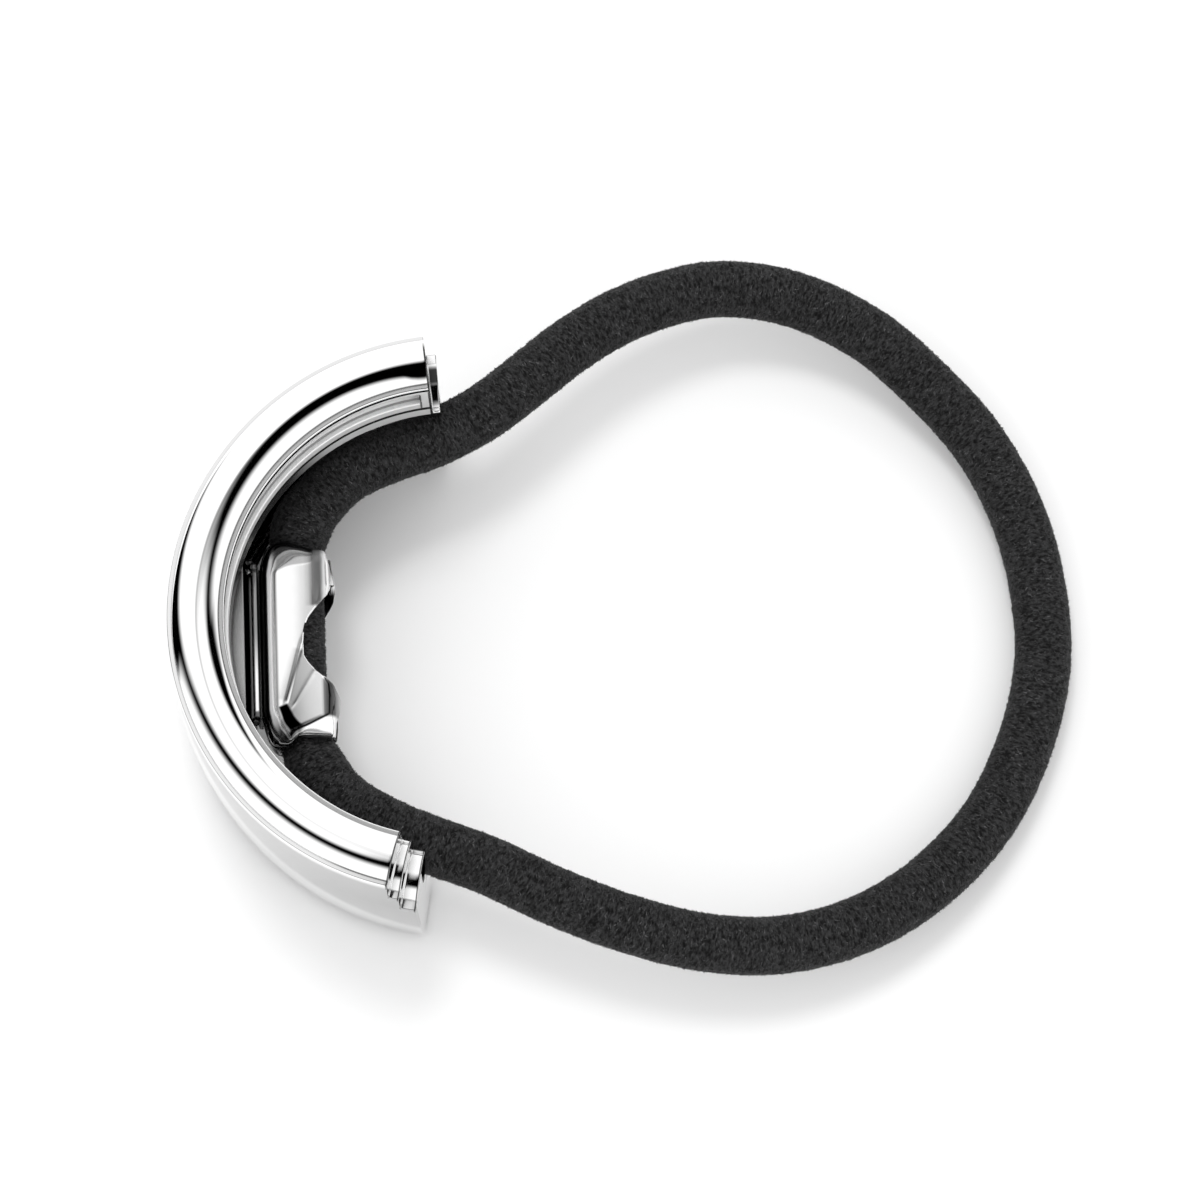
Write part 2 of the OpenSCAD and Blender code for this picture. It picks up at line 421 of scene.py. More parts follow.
def build_pad():
    back = IN_R + SEAT_D + PAD_DEPTH
    half = PAD_L / 2
    reach = asin(half / back)
    arc = [(-back * cos(a), back * sin(a)) for a in np.linspace(-reach, reach, PAD_ARC_POINTS)]
    low, high = MID_Z - PAD_H / 2, MID_Z + PAD_H / 2
    pad = rounded_block("pad", arc + [(-PAD_R, half), (-PAD_R, -half)], low, high, PAD_EDGE)
    x0, x1, half = -PAD_R - LEDGE_DEPTH, -PLATE_R, half - LEDGE_INSET
    ledge = rounded_block("ledge", [(x0, half), (x1, half), (x1, -half), (x0, -half)],
                          low + LEDGE_INSET, high - LEDGE_DROP, LEDGE_EDGE)
    return pad, ledge


# The folded clip: a sheet in rows round its section and stations along it. The back is a plain bend, and from
# there each flap runs through five lines of places, given as (y, x, drop below the flat).
HALF_T = SHEET_T / 2
BACK_X = -FOLD_BACK_R + HALF_T
RISE = 2.35
BACK_BEND = 1.1
FLAT_X = BACK_X + BACK_BEND
STATION_STEP = 0.06
GUESS_TOP, GUESS_L, FIT_ROUNDS = 6.8, 13.8, 4
BACK_SINK, BACK_TO = 0.9, -12.2
BACK_ROWS = 20
NEAR_ROWS = (42, 7, 7, 9)
FAR_ROWS = (12, 5, 6, 9)

FLAT_LINE = [(7.5, FLAT_X, 0), (-7.5, FLAT_X, 0)]
NEAR_LINES = [
    FLAT_LINE,
    [(7.5, -10.08, 0), (2.9, -10.08, 0), (2.1, -10.35, 0), (1.5, -10.7, 0), (0.2, -10.95, 0), (-1.25, -10.93, 0),
     (-1.8, -10.65, 0), (-2.4, -10.1, 0), (-2.8, -9.75, 0), (-3.3, -9.47, 0), (-7.5, -9.5, 0)],
    [(7.5, -9.45, 0.24), (3.9, -9.45, 0.245), (3.2, -9.62, 0.15), (2.6, -9.8, 0.05), (2.1, -10.2, 0), (1.5, -10.6, 0),
     (0.2, -10.88, 0), (-1.25, -10.88, 0), (-1.8, -10.58, 0), (-2.4, -10.04, 0), (-2.8, -9.66, 0.16),
     (-3.3, -9.22, 0.27), (-4.2, -9.08, 0.33), (-5.6, -9.12, 0.34), (-7.5, -9.3, 0.4)],
    [(7.5, -9.42, 0.4), (6.3, -9.38, 0.42), (5.5, -9.18, 0.6), (3.9, -9.14, 0.65), (3.2, -9.38, 0.32),
     (2.6, -9.68, 0.1), (2.1, -10.1, 0), (1.5, -10.5, 0), (0.2, -10.8, 0), (-1.25, -10.84, 0), (-1.8, -10.52, 0),
     (-2.4, -9.99, 0), (-2.8, -9.57, 0.18), (-3.4, -9.05, 0.4), (-4.2, -8.82, 0.6), (-5.2, -8.88, 0.66),
     (-7.5, -9.15, 0.9)],
    [(7.5, -9.38, 1.2), (6.3, -9.34, 1.3), (5.4, -9.13, 1.8), (4.1, -9.1, 1.9), (3.6, -9.12, 1.1), (3.2, -9.22, 0.55),
     (2.6, -9.57, 0.14), (2.1, -9.98, 0), (1.5, -10.42, 0), (0.8, -10.7, 0), (0.2, -10.78, 0), (-0.4, -10.81, 0),
     (-1.25, -10.8, 0), (-1.8, -10.47, 0), (-2.4, -9.95, 0), (-2.8, -9.48, 0.2), (-3.4, -8.95, 0.6),
     (-4.2, -8.58, 1.25), (-5.0, -8.62, 1.4), (-5.7, -8.9, 1.45), (-7.5, -9.1, 1.7)],
]
FAR_LINES = [
    FLAT_LINE,
    [(7.5, -9.9, 0), (3.0, -9.95, 0), (2.2, -10.3, 0), (1.0, -10.7, 0), (-1.5, -10.7, 0), (-2.4, -10.2, 0),
     (-3.2, -9.9, 0), (-7.5, -9.9, 0)],
    [(7.5, -9.4, 0.2), (3.5, -9.45, 0.2), (2.8, -9.75, 0.1), (2.2, -10.15, 0), (1.0, -10.6, 0), (-1.5, -10.6, 0),
     (-2.4, -10.0, 0.05), (-3.2, -9.4, 0.2), (-7.5, -9.4, 0.2)],
    [(7.5, -9.2, 0.7), (4.4, -9.0, 0.7), (3.5, -9.15, 0.6), (2.8, -9.55, 0.3), (2.2, -10.0, 0.05), (1.0, -10.5, 0),
     (-1.5, -10.5, 0), (-2.4, -9.8, 0.1), (-3.2, -9.1, 0.6), (-7.5, -9.1, 0.7)],
    [(7.5, -9.2, 1.75), (5.6, -9.12, 1.8), (4.9, -8.95, 1.95), (4.3, -8.84, 2.0), (3.8, -8.86, 1.8),
     (3.3, -9.02, 1.35), (2.8, -9.4, 0.75), (2.2, -9.85, 0.2), (1.0, -10.4, 0), (-1.5, -10.4, 0), (-2.4, -9.65, 0.2),
     (-3.2, -9.05, 1.1), (-4.0, -8.88, 1.7), (-6.0, -8.92, 1.7), (-7.5, -9.1, 1.6)],
]

# Planes over the near flap: the place, the height there and the slopes across and along the clip. The creases are
# measured as the distance from a line through their place.
FIRST_CREASE = (-10.8, -0.16, 0, 0.966, -0.26)
SECOND_CREASE = (-10.05, -2.37, 0, 0.856, -0.517)
SECOND_FACET = (-10.05, -2.37, 0.13, 0.055, -0.005)
END_FACET = (-10.8, -6.24, 0.10, 0.30, -0.5)
END_WALL = (-11.62, -5.0, 0, 1, 0.46)
FIRST_SLOPE = 0.1
FACETS_FROM = 1.2
CROWN_FROM = -11.6
CROWN = 0.018
# The creases: depth, width and shift, and between which places each starts and ends
CREASES = ((0.026, 0.1, 0.02, (0.6, -1.2), (-5.0, -4.4)), (0.012, 0.08, 0, (-2.0, -2.6), (-5.1, -4.6)))

# Where the sheet ends at the back, the shift at the front, and the places between which it shifts
UPPER_EDGE = (6.9, -0.75, -12.2, -9.6)
LOWER_EDGE = (-7.3, 0.6, -12.1, -11.1)
# The roll over an end: its depth and even slope, where the round begins, and how softly the slope sets in
CURL_DEPTH = 0.95
CURL_SLOPE = 0.2
CURL_ROUND = 0.4
CURL_EASE = 0.12


def ramp(x, x0, x1):
    """A soft step from 0 to 1 between two places."""
    t = np.clip((x - x0) / (x1 - x0), 0, 1)
    return t * t * (3 - 2 * t)


def height_over(plane, x, y):
    x0, y0, height, across, ahead = plane
    return height + across * (x - x0) + ahead * (y - y0)


def dents(x, y):
    """How far the near flap is pressed in: two creases and facets, one facet over the lower end, and a crown."""
    before, apart = height_over(FIRST_CREASE, x, y), height_over(SECOND_CREASE, x, y)
    facets = np.minimum(FIRST_SLOPE * before, height_over(SECOND_FACET, x, y))
    side = np.where(y < FACETS_FROM, np.maximum(0, facets), 0)
    creases = 0
    for away, (depth, width, shift, starts, ends) in zip((before, apart), CREASES):
        creases = creases + depth * np.exp(-((away + shift) / width) ** 2) * ramp(y, *starts) * ramp(y, *ends)
    wall = ramp(height_over(END_WALL, x, y), -0.35, 0.1)
    crown = CROWN * np.maximum(0, x - CROWN_FROM) ** 2
    return (1 - wall) * side + wall * np.maximum(side, height_over(END_FACET, x, y)) + creases + crown


def back_place(share):
    """Place on the back wall and its bend, from the middle of the wall to where the flat starts."""
    up = RISE - BACK_BEND
    s = share * (up + BACK_BEND * pi / 2)
    if s < up:
        return BACK_X, s
    a = (s - up) / BACK_BEND
    return BACK_X + BACK_BEND * (1 - cos(a)), up + BACK_BEND * sin(a)


def on_line(line, y):
    """Places across the clip, and drops, of a line at the stations."""
    ys, xs, drops = zip(*reversed(line))
    return np.interp(y, ys, xs), np.interp(y, ys, drops)


def flap_place(lines, row, counts, y):
    """Places on a flap in a row counted from where the flat starts, at all the stations."""
    for k, rows in enumerate(counts):
        if row <= rows:
            (x0, d0), (x1, d1) = on_line(lines[k], y), on_line(lines[k + 1], y)
            x, drop = x0 + (x1 - x0) * row / rows, d0 + (d1 - d0) * row / rows
            return x, RISE - (np.maximum(drop, dents(x, y)) if lines is NEAR_LINES else drop)
        row -= rows


def end_places(x):
    """Where the sheet's upper and lower ends lie at a distance across the clip."""
    return [place + shift * ramp(x, x0, x1) for place, shift, x0, x1 in (UPPER_EDGE, LOWER_EDGE)]


def curl(distance, width, depth):
    """A roll over an end: first a slight even slope, then a round."""
    t = np.maximum(0.0, 1 - distance / width)
    late = np.maximum(0.0, (t - CURL_ROUND) / (1 - CURL_ROUND))
    slope = t - CURL_EASE * (1 - np.exp(-t / CURL_EASE))
    even = CURL_SLOPE * width
    return even * slope + (depth - even) * (1 - np.sqrt(np.maximum(0.0, 1 - late * late)))


def end_sink(x, y, near):
    """How far the sheet sinks towards the elastic near its two ends. Both rolls shrink towards the front."""
    upper, lower = end_places(x)
    top = np.clip((x + 12.6) / 2.7, 0, 1)
    low = ramp(x, -12.9, -11.4)
    sink = curl(upper - y, 2.3 - 1.5 * top, CURL_DEPTH - 0.5 * top)
    return sink + curl(y - lower, 2.4 - 1.9 * low, CURL_DEPTH - (0.65 if near else 0.5) * low)


def half_sheet(side, lines, counts, stations):
    """Half of the folded sheet, in rows from the middle of its back. A few rounds fit the stations of each row
    between the sheet's ends."""
    half = []
    u = np.arange(stations) / (stations - 1)
    for j in range(BACK_ROWS + sum(counts) + 1):
        y = GUESS_TOP - GUESS_L * u
        for _ in range(FIT_ROUNDS):
            on_back = j <= BACK_ROWS
            x, rise = back_place(j / BACK_ROWS) if on_back else flap_place(lines, j - BACK_ROWS, counts, y)
            upper, lower = end_places(x)
            y = upper + (lower - upper) * u
        sink = end_sink(x, y, side > 0)
        x = x + BACK_SINK * sink * (1 - ramp(x, BACK_X, BACK_TO))
        half.append(np.stack([x, y, MID_Z + side * rise * (1 - sink / RISE)], -1))
    return np.array(half)


def smoothed(grid, passes, share=0.5):
    """Evens a grid of values out inside and along its border, corners apart."""
    for _ in range(passes):
        old = grid.copy()
        beside = (old[:-2, 1:-1] + old[2:, 1:-1] + old[1:-1, :-2] + old[1:-1, 2:]) / 4
        grid[1:-1, 1:-1] += share * (beside - old[1:-1, 1:-1])
        for edge in (0, -1):
            grid[edge, 1:-1] += share * ((old[edge, :-2] + old[edge, 2:]) / 2 - old[edge, 1:-1])
            grid[1:-1, edge] += share * ((old[:-2, edge] + old[2:, edge]) / 2 - old[1:-1, edge])
    return grid


def unit(vectors):
    return vectors / np.maximum(np.linalg.norm(vectors, axis=-1, keepdims=True), 1e-9)


# The round edge of the sheet: places above its middle and out from its border
SHEET_EDGE = [(0.22, 0.05), (0.15, 0.08), (0, 0.09), (-0.15, 0.08), (-0.22, 0.05)]


def quads(index):
    return [(index[j, i], index[j, i + 1], index[j + 1, i + 1], index[j + 1, i])
            for j in range(index.shape[0] - 1) for i in range(index.shape[1] - 1)]


def build_sheet():
    """The folded clip: both faces of the sheet, and rings of faces round its edge."""
    count = int(CLIP_L / STATION_STEP) + 1
    near, far = half_sheet(1, NEAR_LINES, NEAR_ROWS, count), half_sheet(-1, FAR_LINES, FAR_ROWS, count)
    grid = turn_with_pad(smoothed(np.concatenate([near[::-1], far[1:]]), 3))
    normal = unit(np.cross(np.gradient(grid, axis=1), np.gradient(grid, axis=0)))
    if normal[len(near) - 1, count // 2, 0] > 0:
        normal = -normal
    normal = unit(smoothed(normal, 2))
    rows = len(grid)
    index = np.arange(rows * count).reshape(rows, count)
    points = np.concatenate([(grid + normal * HALF_T).reshape(-1, 3), (grid - normal * HALF_T).reshape(-1, 3)])
    under = index + rows * count
    faces = quads(index) + [face[::-1] for face in quads(under)]
    border = ([(0, i) for i in range(count - 1)] + [(j, count - 1) for j in range(rows - 1)]
              + [(rows - 1, i) for i in range(count - 1, 0, -1)] + [(j, 0) for j in range(rows - 1, 0, -1)])
    j, i = np.array(border).T
    spots, lift, middle = grid[j, i], normal[j, i], grid[np.clip(j, 2, rows - 3), np.clip(i, 2, count - 3)]
    out = unit(np.cross(np.roll(spots, -1, axis=0) - np.roll(spots, 1, axis=0), lift))
    out *= np.where(((spots - middle) * out).sum(-1, keepdims=True) < 0, -1, 1)
    rings = [index[j, i]]
    total = len(points)
    for up, away in SHEET_EDGE:
        rings.append(list(range(total, total + len(border))))
        points = np.concatenate([points, spots + lift * up + out * away])
        total += len(border)
    rings.append(under[j, i])
    for one, two in zip(rings, rings[1:]):
        faces += [(one[k], two[k], two[(k + 1) % len(border)], one[(k + 1) % len(border)]) for k in range(len(border))]
    return make_object("clip_folded", points, [tuple(int(v) for v in face) for face in faces])


# Blocks on the back of the fold, with half their height, and lumps of solder, with their size
BLOCK_ENDS = (-5.4, 5.3)
BACK_BLOCKS = [("clip_plate", -PLATE_R + 0.08, -13.86, 1.95), ("filler", -14.0, -FOLD_BACK_R + 0.05, 1.4)]
BLOCK_EDGE = 0.1
SOLDER = [
    (-14.15, 5.35, 11.2, 0.34), (-14.45, 5.75, 10.9, 0.3), (-14.5, 5.1, 11.1, 0.26), (-14.2, -5.5, 10.7, 0.3),
    (-14.3, 5.4, 8.0, 0.32),
]
SOLDER_WAVE = 0.2


def build_plate():
    """The plate on the back of the fold, with its thin upper strip, and the lumps of solder at its end."""
    y0, y1 = BLOCK_ENDS
    parts = []
    for name, x0, x1, high in BACK_BLOCKS:
        outline = [(x0, y0), (x1, y0), (x1, y1), (x0, y1)]
        parts.append(rounded_block(name, outline, MID_Z - high, MID_Z + high, BLOCK_EDGE))
    for x, y, z, size in SOLDER:
        bpy.ops.mesh.primitive_ico_sphere_add(subdivisions=4, radius=size)
        lump = bpy.context.object
        for vertex in lump.data.vertices:
            vertex.co *= 1 + SOLDER_WAVE * noise.noise(vertex.co / size * 1.2 + Vector((x, y, z)))
            vertex.co += Vector(turn_with_pad(np.array((x, y, z))))
        parts.append(lump)
    return parts


# The covered elastic: a swept tube that is squeezed where the clip holds it, with a short nap
SIDES = 56
RING_STEP = 0.22
NAP_SEED = 7
NAP_COUNT = 55000
NAP_WIDTH = 0.1
NAP_BREADTHS = (0.3, 0.6)
NAP_LENGTHS = (0.2, 0.42)
NAP_HEIGHTS = (0.04, 0.13)
NAP_SHIFTS = (-0.11, 0.11)
NAP_TURN = 0.6
NAP_SINK = 0.02
ROUTE_STEPS = 24

# Unevenness of the cover: the height, fineness and start of each noise
BUMPS = ((0.035, 2.6, Vector((0, 0, 0))), (0.03, 5.5, Vector((9, 4, 1))))

# The squeeze: where the clip holds the elastic, the clip's mouths and the bulges beyond them, and how much thinner
# the elastic is in the clip and at its upper and lower mouth, across and along the axis
HELD = (-7, 6.6)
MOUTHS = ((6.6, 0.9), (-7.1, 0.9))
BULGES = ((8.6, 1.2, 0.12), (-9.0, 1.2, 0.1))
THINNER_ACROSS = (0.17, 0.1, 0.2)
THINNER_ALONG = (0.1, 0.72, 0.72)
FREE_X, FREE_Y = -5, 14


def curve_point(a, b, c, d, t):
    """A place on the smooth curve through four knots, between the middle two."""
    return 0.5 * (2 * b + (c - a) * t + (2 * a - 5 * b + 4 * c - d) * t * t + (3 * b - 3 * c + d - a) * t ** 3)


def elastic_line(step):
    """The middle line of the elastic in even steps, and its whole length."""
    gap = JOINT_GAP / 2
    start = turn_with_pad([(-ELASTIC_R, y, MID_Z) for y in (JOINT_Y + gap, JOINT_Y + 3, 0, 3, 6)])
    end = turn_with_pad([(-ELASTIC_R, y, MID_Z) for y in (JOINT_Y - 0.9, JOINT_Y - gap)])
    knots = np.vstack([start, np.array(ROUTE, float), end])
    last = len(knots) - 1
    fine = []
    for i in range(last):
        a, b, c, d = (knots[min(max(k, 0), last)] for k in (i - 1, i, i + 1, i + 2))
        fine += [curve_point(a, b, c, d, t) for t in np.linspace(0, 1, ROUTE_STEPS, endpoint=False)]
    fine = np.array(fine + [knots[last]])
    run = np.concatenate([[0], np.cumsum(np.linalg.norm(np.diff(fine, axis=0), axis=1))])
    even = np.linspace(0, run[-1], int(run[-1] / step) + 1)
    line = np.stack([np.interp(even, run, fine[:, k]) for k in range(3)], -1)
    return line, run[-1]


def bell(y, middle, width):
    return exp(-((y - middle) / width) ** 2)


def squeeze(point):
    """Half thickness of the elastic across and along the axis of the cuff at a place on its line."""
    y = -sin(PAD_TURN) * point[0] + cos(PAD_TURN) * point[1]
    if point[0] > FREE_X or abs(y) > FREE_Y:
        return ELASTIC_D / 2, ELASTIC_D / 2
    held = 1.0 if HELD[0] < y < HELD[1] else 0.0
    upper, lower = (bell(y, *mouth) for mouth in MOUTHS)
    above_it, below_it = (bell(y, middle, width) * rise for middle, width, rise in BULGES)
    return tuple(ELASTIC_D / 2 - in_clip * held - at_upper * upper - at_lower * lower + above_it + below_it
                 for in_clip, at_upper, at_lower in (THINNER_ACROSS, THINNER_ALONG))


def fibre_bumps(places):
    """Slow unevenness of the cover at each place."""
    rise = [sum(high * noise.noise(q * fine + start) for high, fine, start in BUMPS) for q in map(Vector, places)]
    return np.array(rise)[:, None]


def on_cover(line, ring, angle):
    """Places on the cover, their directions outward, round and ahead, and their way: the length along the elastic
    and the place round its section."""
    ahead = unit(np.gradient(line, axis=0))
    side = unit(np.cross(ahead, (0, 0, 1)))
    up = np.cross(side, ahead)[ring]
    ahead, side, size = ahead[ring], side[ring], np.array([squeeze(centre) for centre in line])[ring]
    c, s = np.cos(angle)[:, None], np.sin(angle)[:, None]
    spot = line[ring] + c * size[:, :1] * side + s * size[:, 1:] * up
    way = np.hstack([ring[:, None] * RING_STEP, c * ELASTIC_D / 2, s * ELASTIC_D / 2])
    return spot, c * side + s * up, c * up - s * side, ahead, way


def build_elastic():
    line, length = elastic_line(RING_STEP)
    rings = len(line)
    angles = 2 * np.pi * np.arange(SIDES) / SIDES
    spot, out, _, _, way = on_cover(line, np.repeat(np.arange(rings), SIDES), np.tile(angles, rings))
    faces = [(i * SIDES + k, i * SIDES + (k + 1) % SIDES, (i + 1) * SIDES + (k + 1) % SIDES, (i + 1) * SIDES + k)
             for i in range(rings - 1) for k in range(SIDES)]
    faces += [tuple(range(SIDES))[::-1], tuple((rings - 1) * SIDES + k for k in range(SIDES))]
    return make_object("elastic_cord", spot + out * fibre_bumps(spot), faces), way, line, length


def build_nap(line):
    """Short brushed fibres that stand off the cover at a low slant, each a thin triangle."""
    rng = np.random.default_rng(NAP_SEED)
    drawn = lambda limits: rng.uniform(*limits, (NAP_COUNT, 1))
    ring = rng.integers(2, len(line) - 2, NAP_COUNT)
    root, out, around, ahead, way = on_cover(line, ring, rng.uniform(0, 2 * np.pi, NAP_COUNT))
    root += ahead * drawn(NAP_SHIFTS) + out * (fibre_bumps(root) - NAP_SINK)
    turn = rng.normal(0, NAP_TURN, (NAP_COUNT, 1))
    lean = (np.cos(turn) * around + np.sin(turn) * ahead) * rng.choice((-1, 1), (NAP_COUNT, 1))
    broad = np.cross(lean, out) * NAP_WIDTH * drawn(NAP_BREADTHS)
    tip = root + lean * drawn(NAP_LENGTHS) + out * drawn(NAP_HEIGHTS)
    points = np.stack([root - broad, root + broad, tip], 1).reshape(-1, 3)
    faces = np.arange(3 * NAP_COUNT).reshape(-1, 3).tolist()
    return make_object("nap", points, faces, painted_recess_shade=False), np.repeat(way, 3, axis=0)


# Materials
DEGREES = 180 / pi


class Value:
    """A number or colour in a node tree. Reckoning with it adds maths nodes to the tree."""

    def __init__(self, socket):
        self.socket, self.tree = socket, socket.id_data

    __add__ = __radd__ = lambda self, other: maths("ADD", self, other)
    __mul__ = __rmul__ = lambda self, other: maths("MULTIPLY", self, other)
    __sub__ = lambda self, other: maths("SUBTRACT", self, other)
    __rsub__ = lambda self, other: maths("SUBTRACT", other, self)
    __truediv__ = lambda self, other: maths("DIVIDE", self, other)
    __pow__ = lambda self, other: maths("POWER", self, other)
    __abs__ = lambda self: maths("ABSOLUTE", self)


def feed(socket, value):
    """Sets a socket to a number or colour, or links a value to it."""
    if isinstance(value, Value):
        value.tree.links.new(value.socket, socket)
    else:
        socket.default_value = value


def add_node(tree, kind, inputs=(), **settings):
    """Adds a shader node with its settings, and its inputs by name or in order."""
    node = set_up(tree.nodes.new("ShaderNode" + kind), **settings)
    for key, value in inputs.items() if isinstance(inputs, dict) else enumerate(inputs):
        feed(node.inputs[key], value)
    return node


def result(tree, kind, inputs=(), output=0, **settings):
    return Value(add_node(tree, kind, inputs, **settings).outputs[output])


def maths(operation, *values):
    tree = next(value.tree for value in values if isinstance(value, Value))
    return result(tree, "Math", values, operation=operation)


def larger(one, two):
    return maths("MAXIMUM", one, two)


def length_of(x, y):
    return maths("SQRT", x * x + y * y)


def angle_of(x, y):
    """The angle of a place in degrees, measured from y towards x."""
    return maths("ARCTAN2", x, y) * DEGREES


def parts_of(tree, name):
    """The three parts of a texture coordinate."""
    place = result(tree, "TexCoord", output=name)
    return [Value(part) for part in add_node(tree, "SeparateXYZ", [place]).outputs]


def spread(value, low, high, to_low=0.0, to_high=1.0, kind="LINEAR"):
    """Maps a value from one range onto another."""
    ends = (value, low, high, to_low, to_high)
    return result(value.tree, "MapRange", ends, "Result", interpolation_type=kind)


def soft_step(value, low, high):
    return spread(value, low, high, kind="SMOOTHSTEP")


# Soft marks: shares above, below and between edges, joined by both, and a share lessened where marks are
def above(value, edge, soft=0.04):
    return soft_step(value, edge - soft, edge + soft)


def below(value, edge, soft=0.04):
    return 1 - above(value, edge, soft)


def both(*values):
    return values[0] if len(values) == 1 else values[0] * both(*values[1:])


def between(value, low, high, soft=0.04):
    return both(above(value, low, soft), below(value, high, soft))


def lessen(share, *marks):
    for mark, by in marks:
        share = share * (1 - mark * by)
    return share


def colour_ramp(value, stops):
    """Colours through stops given as (place, colour)."""
    node = add_node(value.tree, "ValToRGB", [value])
    elements = node.color_ramp.elements
    for element, (place, colour) in zip((elements[0], elements[-1]), (stops[0], stops[-1])):
        element.position, element.color = place, (*colour, 1)
    for place, colour in stops[1:-1]:
        elements.new(place).color = (*colour, 1)
    return Value(node.outputs["Color"])


def tones_along(value, tones):
    """Tones through places along a value, between its first and last place."""
    first, last = tones[0][0], tones[-1][0]
    stops = [((place - first) / (last - first), (tone, tone, tone)) for place, tone in tones]
    return colour_ramp(spread(value, first, last), stops)


def noise_texture(tree, scale, detail, roughness=0.5, place=None):
    place = place or result(tree, "TexCoord", output="Object")
    return result(tree, "TexNoise", {"Vector": place, "Scale": scale, "Detail": detail, "Roughness": roughness}, "Fac")


def material(name, **values):
    made = bpy.data.materials.new(name)
    made.use_nodes = True
    shader = made.node_tree.nodes["Principled BSDF"]
    for key, value in values.items():
        feed(shader.inputs[key.replace("_", " ")], value)
    return made, made.node_tree, shader


def raised(shader, height, distance):
    """Bump of a given height in millimetres on a shader's normal."""
    inputs = {"Strength": 1.0, "Distance": distance * MM, "Height": height}
    feed(shader.inputs["Normal"], result(height.tree, "Bump", inputs, "Normal"))


# Polished metal: how fine its polishing marks and its unevenness are, and how far a recess reaches for its dullness
# and its painted shade
GRAIN_SCALE = 900
SWELL_SCALE = 160
RECESS_REACH = 1.2


def polished_metal(name, tone, rough, wave, marks):
    """Mirror metal with fine polishing marks and a faint unevenness, dull in its recesses and darkened there by
    painted shade. Marks give places a share of the tone, mostly painted shade and painted reflections, an added
    roughness and a matt share."""
    made, tree, shader = material(name)
    grain, swell = noise_texture(tree, GRAIN_SCALE, 6), noise_texture(tree, SWELL_SCALE, 2)
    open_air = result(tree, "AmbientOcclusion", {"Distance": RECESS_REACH * MM}, "AO", samples=12)
    share, dull, matt = marks(tree)
    gloss = spread(grain, 0.3, 0.7, rough * 0.6, rough * 1.4) + spread(open_air, 0.35, 0.8, 0.12, 0.0)
    # Painted shade: the base colour darkens where the ambient occlusion finds a recess
    painted_recess_shade = (1 - spread(open_air, 0.15, 0.8, 0.02, 1.0)) * (1 - matt)
    shade = spread(swell, 0.3, 0.7, tone * 0.985, tone) * (1 - painted_recess_shade) * share
    feed(shader.inputs["Base Color"], result(tree, "CombineColor", (shade, shade, shade)))
    feed(shader.inputs["Roughness"], gloss + dull)
    feed(shader.inputs["Metallic"], 1 - matt)
    raised(shader, swell, wave)
    return made


# Painted reflections of a pressed sheet: tones by its tilt in degrees, at its back, its upper end and its lower end
BACK_REFLECTION_TONES = [
    (0, 1.0), (3, 0.9), (5.5, 0.55), (8, 0.22), (10.5, 0.5), (13, 0.95), (29, 1.0), (33, 0.25), (37, 0.03),
    (90, 0.02),
]
UPPER_END_REFLECTION_TONES = [
    (0, 1.0), (2, 0.95), (5, 0.5), (26, 0.45), (31, 0.08), (37, 0.05), (41, 0.3), (46, 0.05), (60, 0.3), (72, 0.03),
    (90, 0.02),
]
LOWER_END_REFLECTION_TONES = [
    (0, 1.0), (3, 0.9), (7, 0.3), (20, 0.2), (27, 0.12), (34, 0.4), (42, 0.05), (52, 0.4), (62, 0.03), (90, 0.02),
]

# Painted reflections across the upper and the lower tooth: tones by place across the clip
UPPER_TOOTH_REFLECTION_TONES = [
    (-10.6, 1.0), (-10.3, 0.8), (-10.15, 0.55), (-10.0, 0.2), (-9.85, 0.13), (-9.5, 0.17), (-9.35, 0.4), (-9.15, 0.8),
    (-9.0, 1.0),
]
LOWER_TOOTH_REFLECTION_TONES = [
    (-9.6, 1.0), (-9.48, 0.75), (-9.38, 0.28), (-9.2, 0.12), (-9.05, 0.07), (-8.9, 0.07), (-8.7, 0.13), (-8.5, 0.3),
    (-8.3, 0.7),
]

# Spots of painted shade on the near flap, for the creases and the dent: the place across and along the clip, and the
# turn of the spot's own frame
FIRST_CREASE_SPOT = (-11.43, -2.64, atan2(3.51, 1.155))
SECOND_CREASE_SPOT = (-10.3, -5.83, atan2(0.65, 1.55))
DENT_SPOT = (-11.9, -5.55, atan2(-1.452, 0.594))


def seen_from(spot, x, y):
    """Places in the frame of a spot: along it and beside it."""
    x0, y0, turn = spot
    c, s = cos(turn), sin(turn)
    return (x - x0) * c + (y - y0) * s, (y - y0) * c - (x - x0) * s


